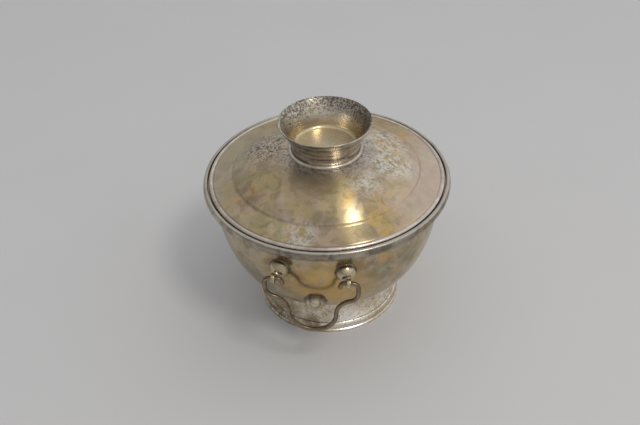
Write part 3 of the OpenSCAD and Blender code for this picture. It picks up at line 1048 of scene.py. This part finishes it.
@dataclass
class Handle:
    """One handle: two domed bosses with drilled eyes, a domed stop and the bail.

    Attributes:
        side: Which side of the bowl it is on.
        boss_r: Radius of a boss.
        boss: Middle of a boss: across the handle, away from the bowl's axis, and up.
        sunk: How far a dome's middle is under the wall's surface.
        eye_u: Distance of an eye's middle from the middle of the handle.
        eye_w: Thickness of an eye.
        hole_r: Radius of an eye's hole.
        eye_r: Outside radius of an eye.
        shank_r: Radius of the shank between eye and boss.
        wire_r: Radius of the bail's wire.
        drop: Depth of the bail below its hinge.
    """

    side: Side
    boss_r: float = 4.8
    boss: tuple[float, float, float] = (14.7, 52.192, 57.9)
    boss_lean: float = -6.9
    sunk: float = 0.5
    eye_u: float = 17.0
    eye_w: float = 1.8
    hole_r: float = 1.4
    eye_r: float = 2.4
    shank_r: float = 1.1
    wire_r: float = 1.1
    drop: float = 31.0
    bow_r: float = 11.0
    shoulder_r: float = 5.5
    shoulder_drop: float = 5.8
    elbow_r: float = 2.6
    pin_out: float = 18.6
    pin_in: float = 15.4
    curl_r: float = 2.2
    curl_turn: float = 75.0
    curl_tail: float = 1.0
    stop_r: float = 5.3
    stop_place: Point = (47.99, 34.23)
    stop_lean: float = -25.6
    hinge: Point = field(init=False)

    def __post_init__(self) -> None:
        """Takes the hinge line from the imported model's joint."""
        joint = next(j for j in frame["joints"] if j["child"] == self.word + "_handle")
        self.hinge = (abs(joint["pos_m"][1]) / MM, joint["pos_m"][2] / MM)

    @property
    def word(self) -> str:
        """The handle's place in node names."""
        return self.side.name.lower()

    def out(self, points: Sequence[Vector]) -> list[Vector]:
        """Points made with +Y away from the bowl, in millimetres, turned to the handle's side, in metres."""
        turn = Matrix.Rotation(math.radians(self.side.value), 3, "Z")
        return [turn @ p * MM for p in points]

    @staticmethod
    def along(points: Sequence[Sequence[float]], start: Vector, axis: Vector) -> list[Vector]:
        """Points made in metres about Z, as millimetres about another axis.

        Args:
            points: The points.
            start: Where their origin goes.
            axis: Where their Z goes.

        Returns:
            The moved points.
        """
        turn = axis.to_track_quat("Z", "Y").to_matrix()
        return [start + turn @ (Vector(p) / MM) for p in points]

    def dome(self, name: str, centre: Vector, lean: float, radius: float) -> bpy.types.Object:
        """A dome with its collar of solder against the wall.

        Args:
            name: Name of the object.
            centre: Middle of its sphere.
            lean: Angle of the wall's outward direction above level, in degrees.
            radius: Radius of its sphere.

        Returns:
            The dome.
        """
        level = Vector((centre.x, centre.y, 0.0)).normalized()
        tilt = math.radians(lean)
        away = level * math.cos(tilt) + Vector((0, 0, math.sin(tilt)))
        rim = math.degrees(math.asin(self.sunk / radius)) + 7.0
        dome = Outline.arc((0, 0), radius, 90.0, rim - 90.0, 24)
        dome[0] = (0.0, radius)
        end_r = dome[-1][0]
        foot = [(end_r + 0.1, self.sunk + 0.2), (end_r + 0.3, self.sunk), (end_r + 0.7, self.sunk - 0.45)]
        sweep = Outline.curve([dome[-1], *foot], 6)[1:]
        section = [(0.0, self.sunk - 0.85), (end_r + 0.5, self.sunk - 0.8)] + list(reversed(dome + sweep))
        points, faces = Shape.turned_data(section, 64)
        return Shape.made(name, self.out(self.along(points, centre, away)), faces)

    def boss_at(self, hand: Hand) -> Vector:
        """The middle of a boss."""
        return Vector((hand.value * self.boss[0], self.boss[1], self.boss[2]))

    def eye(self, hand: Hand) -> bpy.types.Object:
        """A drilled eye with rounded edges on a short shank."""
        centre = Vector((hand.value * self.eye_u, self.hinge[0], self.hinge[1]))
        half = self.eye_w / 2
        ring = Outline.softened(
            [
                (self.hole_r, -half, 0.25),
                (self.eye_r, -half, 0.45),
                (self.eye_r, half, 0.45),
                (self.hole_r, half, 0.25),
            ],
            5,
        )
        points, faces = Shape.turned_data(ring, 40)
        made = self.along(points, centre, Vector((1, 0, 0)))
        back = self.boss_at(hand) - centre
        reach = back.length - self.boss_r
        shank = [
            (0.0, self.eye_r - 0.55),
            (self.shank_r - 0.2, self.eye_r - 0.5),
            (self.shank_r, min(self.eye_r - 0.2, reach)),
            (self.shank_r + 0.3, reach + 0.25),
            (self.shank_r + 0.25, reach + 0.7),
            (0.0, reach + 0.8),
        ]
        more, more_faces = Shape.turned_data(shank, 24)
        base = len(made)
        made += self.along(more, centre, back.normalized())
        faces = list(faces) + [tuple(i + base for i in f) for f in more_faces]
        return Shape.made(f"{self.word}_eye_{hand.name.lower()}", self.out(made), faces)

    def bail_path(self) -> list[Vector]:
        """The middle line of the bail, end to end, with +Y away from the bowl."""
        shoulder_u = self.pin_out + self.elbow_r
        run = self.bow_r + self.shoulder_r - shoulder_u
        rise = self.drop - self.bow_r - self.shoulder_drop
        neck_r = (run * run + rise * rise - self.shoulder_r**2) / (2 * (self.shoulder_r - run))
        heading = math.degrees(math.acos(rise / (neck_r + self.shoulder_r)))
        half = Outline.arc((0, self.bow_r - self.drop), self.bow_r, -90, 90, 26)
        half += Outline.arc((self.bow_r + neck_r, self.bow_r - self.drop), neck_r, 180, heading - 90, 18)[1:]
        bend = (shoulder_u - self.shoulder_r, -self.shoulder_drop)
        half += Outline.arc(bend, self.shoulder_r, heading - 90, 90 - heading, 18)[1:]
        half += Outline.arc((self.pin_out, -self.elbow_r), self.elbow_r, 0, 90, 14)
        half += [(self.pin_out - k * (self.pin_out - self.pin_in) / 5, 0.0) for k in range(1, 5)]
        curl = Outline.arc((self.pin_in, -self.curl_r), self.curl_r, 90, self.curl_turn, 12)
        a = math.radians(self.curl_turn)
        tip = (curl[-1][0] - self.curl_tail * math.cos(a), curl[-1][1] - self.curl_tail * math.sin(a))
        half += curl + [tip]
        both = [(-u, v) for u, v in reversed(half[1:])] + half
        return [Vector((u, self.hinge[0], self.hinge[1] + v)) for u, v in both]

    def bail(self) -> bpy.types.Object:
        """The bail, its wire a little thinner in places along its length."""

        def swell(share: float) -> float:
            """A slow change of the wire's thickness along it."""
            return 0.975 + 0.015 * math.cos(14 * share) * math.cos(5 * share)

        points, faces = Shape.wire(self.bail_path(), self.wire_r, 24, swell)
        return Shape.made(f"{self.word}_bail_wire", self.out(points), faces)

    def build(self, shop: Workshop) -> None:
        """Makes and places the bosses, the eyes, the stop and the bail."""
        for hand in Hand:
            toward = "left" if (hand is Hand.PLUS) == (self.side is Side.FRONT) else "right"
            name = f"{self.word}_boss_{hand.name.lower()}"
            boss = self.dome(name, self.boss_at(hand), self.boss_lean, self.boss_r)
            shop.place(boss, f"{self.word}_{toward}_boss")
            shop.place(self.eye(hand), f"{self.word}_{toward}_eye")
        centre = Vector((0.0, *self.stop_place))
        stop = self.dome(f"{self.word}_domed_stop", centre, self.stop_lean, self.stop_r)
        shop.place(stop, f"{self.word}_stop")
        shop.place(self.bail(), f"{self.word}_bail")


@dataclass
class Lid:
    """The lid: domed sheet, bead round its edge, locating ring, and the cup on its base bead.

    Attributes:
        sheet: Thickness of the lid's sheet.
        bead_r: Radius of the edge bead.
        step_in: Where the dome meets the step.
        step_out: Where the step meets the brim.
        brim_out: Where the brim meets the bead.
    """

    sheet: float = 0.9
    bead_r: float = 1.25
    step_in: Point = (45.0, 77.55)
    step_out: Point = (45.6, 76.45)
    brim_out: Point = (55.4, 73.75)
    bezel_t: float = 0.8
    base_bead: Point = (16.9, 88.14)
    base_bead_r: float = 1.05
    cup_foot_r: float = 16.3
    cup_sheet: float = 0.8
    segments: int = 288

    def top(self) -> list[Point]:
        """The lid's upper surface from its crown out to the bead."""
        crown = Extent.of("lid_shell").high
        rise = crown - self.step_in[1]
        dome = Outline.curve(
            [
                (0.0, crown),
                (self.step_in[0] * 0.55, crown - 0.2),
                (self.step_in[0] * 0.85, crown - 0.55 * rise),
                self.step_in,
            ],
            64,
        )
        step = Outline.curve(
            [
                dome[-2],
                (self.step_in[0] + 0.15, self.step_in[1]),
                (self.step_out[0] - 0.35, self.step_out[1]),
                (self.step_out[0] + 0.7, self.step_out[1] - 0.2),
            ],
            14,
        )
        brim = [
            (
                step[-1][0] + (self.brim_out[0] - step[-1][0]) * k / 10,
                step[-1][1] + (self.brim_out[1] - step[-1][1]) * k / 10 - 0.10 * math.sin(math.pi * k / 10),
            )
            for k in range(1, 11)
        ]
        return dome[:-2] + step + brim

    def shell(self) -> bpy.types.Object:
        """The sheet of the lid, with slight waves."""
        top = self.top()
        under = Outline.beside(top, -self.sheet)
        section = [(0.0, under[0][1])] + under[1:] + list(reversed(top))
        return Shape.turned("lid_dome", section, self.segments, hammered(15.0, 0.12, 5.0))

    def bead(self) -> bpy.types.Object:
        """The bead, dressed flat where it sits."""
        extent = Extent.of("lid_edge_bead")
        centre = (extent.radius - self.bead_r, extent.high - self.bead_r)
        round_part = Outline.arc(centre, self.bead_r, 0, 360, 36)[:-1]
        section = [(r, max(z, extent.low)) for r, z in round_part]
        return Shape.turned("lid_bead", section, self.segments)

    def bezel(self) -> bpy.types.Object:
        """The locating ring under the lid."""
        extent = Extent.of("lid_bezel")
        r, low, high = extent.radius, extent.low, extent.high
        inside = r - self.bezel_t
        corners = [(inside, low, 0.2), (r, low, 0.3), (r, high, 0.0), (inside, high, 0.0)]
        return Shape.turned("lid_locating_ring", Outline.softened(corners, 5), self.segments)

    def foot_bead(self) -> bpy.types.Object:
        """The bead between the dome and the cup."""
        section = Outline.arc(self.base_bead, self.base_bead_r, 0, 360, 28)[:-1]
        return Shape.turned("cup_base_bead", section, 160)

    def cup(self) -> bpy.types.Object:
        """The flared cup, with a rounded mouth and a dished corner at its floor."""
        extent = Extent.of("finial_cup")
        low, high = extent.low, extent.high
        tall = high - low
        mouth = self.cup_sheet / 2
        outer = Outline.curve(
            [
                (self.cup_foot_r, low),
                (self.cup_foot_r + 0.1, low + 0.32 * tall),
                (self.cup_foot_r + 2.7, low + 0.68 * tall),
                (extent.radius, high),
            ],
            44,
        )
        inner = Outline.beside(outer, self.cup_sheet)
        outer = [p for p in outer if p[1] < high - mouth]
        inner = [p for p in inner if low + self.cup_sheet + 2.2 < p[1] < high - mouth]
        over = ((outer[-1][0] + inner[-1][0]) / 2 + 0.12, high - mouth)
        lip = Outline.arc(over, mouth - 0.01, -15, 210, 10)
        floor = low + self.cup_sheet
        wall_r = inner[0][0]
        corner = Outline.curve(
            [inner[0], (wall_r - 0.1, floor + 0.8), (wall_r - 0.8, floor), (wall_r - 2.2, floor)], 12
        )
        under = [(0.0, low), (self.cup_foot_r - 0.6, low), (self.cup_foot_r - 0.15, low)]
        flat = [(wall_r - 3.4, floor), (8.0, floor), (0.0, floor)]
        section = under + outer + lip + list(reversed(inner)) + corner[1:] + flat
        return Shape.turned("cup", section, 224, hammered(12.0, 0.05, 2.0))

    def build(self, shop: Workshop) -> None:
        """Makes and places the five pieces."""
        shop.place(self.shell(), "lid_shell")
        shop.place(self.bead(), "lid_edge_bead")
        shop.place(self.bezel(), "lid_bezel")
        shop.place(self.foot_bead(), "finial_base_bead")
        shop.place(self.cup(), "finial_cup")


# ---------------------------------------------------------------- studio


@dataclass
class Studio:
    """Pale floor, soft light and the camera.

    Attributes:
        around: Angle of the camera round the bowl from the front, in degrees.
        distance: Distance of the camera from the bowl's axis, in millimetres.
        height: Height of the camera above the floor, in millimetres.
        pitch: How far it looks down, in degrees.
        yaw: How far it looks left of the axis, in degrees.
        roll: How far it leans, in degrees.
        lens: Focal length on a 36 mm sensor.
        floor_tone: Colour of the floor.
        bright: Direction of the room's brightest part.
        sky_light: How bright the room is opposite that part and at it.
    """

    around: float = 8.0
    distance: float = 315.0
    height: float = 303.0
    pitch: float = 38.94
    yaw: float = -0.70
    roll: float = -2.08
    lens: float = 45.0
    floor_tone: Colour = (0.66, 0.66, 0.668)
    bright: tuple[float, float, float] = (0.80, 0.30, 0.52)
    sky_light: tuple[float, float] = (0.20, 0.78)

    def camera(self) -> None:
        """Sets the camera up."""
        pitch, yaw, roll = (math.radians(a) for a in (self.pitch, self.yaw, self.roll))
        ahead = Vector((math.sin(yaw) * math.cos(pitch), math.cos(yaw) * math.cos(pitch), -math.sin(pitch)))
        right = Vector((math.cos(yaw), -math.sin(yaw), 0))
        up = right.cross(ahead)
        c, s = math.cos(roll), math.sin(roll)
        right, up = right * c + up * s, up * c - right * s
        turn = Matrix.Rotation(math.radians(self.around), 3, "Z")
        data = bpy.data.cameras.new("camera")
        data.sensor_width = SENSOR
        data.lens = self.lens
        camera = bpy.data.objects.new("camera", data)
        bpy.context.scene.collection.objects.link(camera)
        facing = Matrix((right, up, -ahead)).transposed()
        place = turn @ Vector((0, -self.distance * MM, self.height * MM))
        camera.matrix_world = Matrix.Translation(place) @ (turn @ facing).to_4x4()
        bpy.context.scene.camera = camera

    def floor(self) -> None:
        """A wide pale floor with a faint uneven tone."""
        turns = [2 * math.pi * k / FLOOR_SIDES for k in range(FLOOR_SIDES)]
        rim = [(FLOOR_REACH * math.cos(a), FLOOR_REACH * math.sin(a), 0.0) for a in turns]
        floor = Shape.made("studio_floor", rim, [tuple(range(FLOOR_SIDES))])
        g = Graph("floor_paper")
        dark = tuple(c * 0.96 for c in self.floor_tone)
        g.put(g.mix(g.noise(60.0, 3.0, 0.5), dark, self.floor_tone), g.shader.inputs["Base Color"])
        g.shader.inputs["Roughness"].default_value = 0.7
        g.shader.inputs["Specular IOR Level"].default_value = 0.2
        floor.data.materials.append(g.material)

    @staticmethod
    def softbox(name: str, toward: Vector, away: float, size: Point, power: float, tone: Colour) -> None:
        """A soft rectangular lamp that faces the bowl.

        Args:
            name: Its name.
            toward: Direction from the bowl to the lamp.
            away: Its distance in metres.
            size: Its width and height in metres.
            power: Its power in watts.
            tone: Its colour.
        """
        data = bpy.data.lights.new(name, "AREA")
        data.shape = "RECTANGLE"
        data.size, data.size_y = size
        data.energy = power
        data.color = tone
        lamp = bpy.data.objects.new(name, data)
        bpy.context.scene.collection.objects.link(lamp)
        aim = Vector((0, 0, 0.06))
        lamp.location = aim + toward.normalized() * away
        lamp.rotation_euler = (aim - lamp.location).to_track_quat("-Z", "Y").to_euler()

    def sky(self) -> None:
        """A pale room all round, brighter on the right and overhead."""
        world = bpy.data.worlds.new("room")
        bpy.context.scene.world = world
        world.use_nodes = True
        tree = world.node_tree
        background = tree.nodes["Background"]
        coordinates = tree.nodes.new("ShaderNodeTexCoord")
        facing = tree.nodes.new("ShaderNodeVectorMath")
        facing.operation = "DOT_PRODUCT"
        facing.inputs[1].default_value = self.bright
        ramp = tree.nodes.new("ShaderNodeMapRange")
        ramp.inputs["From Min"].default_value = -1.0
        ramp.inputs["To Min"].default_value, ramp.inputs["To Max"].default_value = self.sky_light
        tree.links.new(coordinates.outputs["Generated"], facing.inputs[0])
        tree.links.new(facing.outputs["Value"], ramp.inputs["Value"])
        tree.links.new(ramp.outputs["Result"], background.inputs["Strength"])
        background.inputs["Color"].default_value = (1.0, 1.0, 1.01, 1.0)

    def build(self) -> None:
        """Makes the floor, the lights and the camera."""
        self.floor()
        self.sky()
        self.softbox("key", Vector((0.39, -0.36, 0.85)), 1.1, (0.24, 0.24), 2.6, (1.0, 0.95, 0.86))
        self.camera()
        bpy.context.scene.view_settings.view_transform = "Standard"


def main() -> None:
    """Builds the studio and every sub-assembly."""
    logging.basicConfig(level=logging.INFO, format="%(name)s: %(message)s")
    Studio().build()
    shop = Workshop(frame["record"])
    Bowl().build(shop)
    Foot().build(shop)
    for side in Side:
        Handle(side).build(shop)
    Lid().build(shop)


if __name__ == "__main__":
    main()
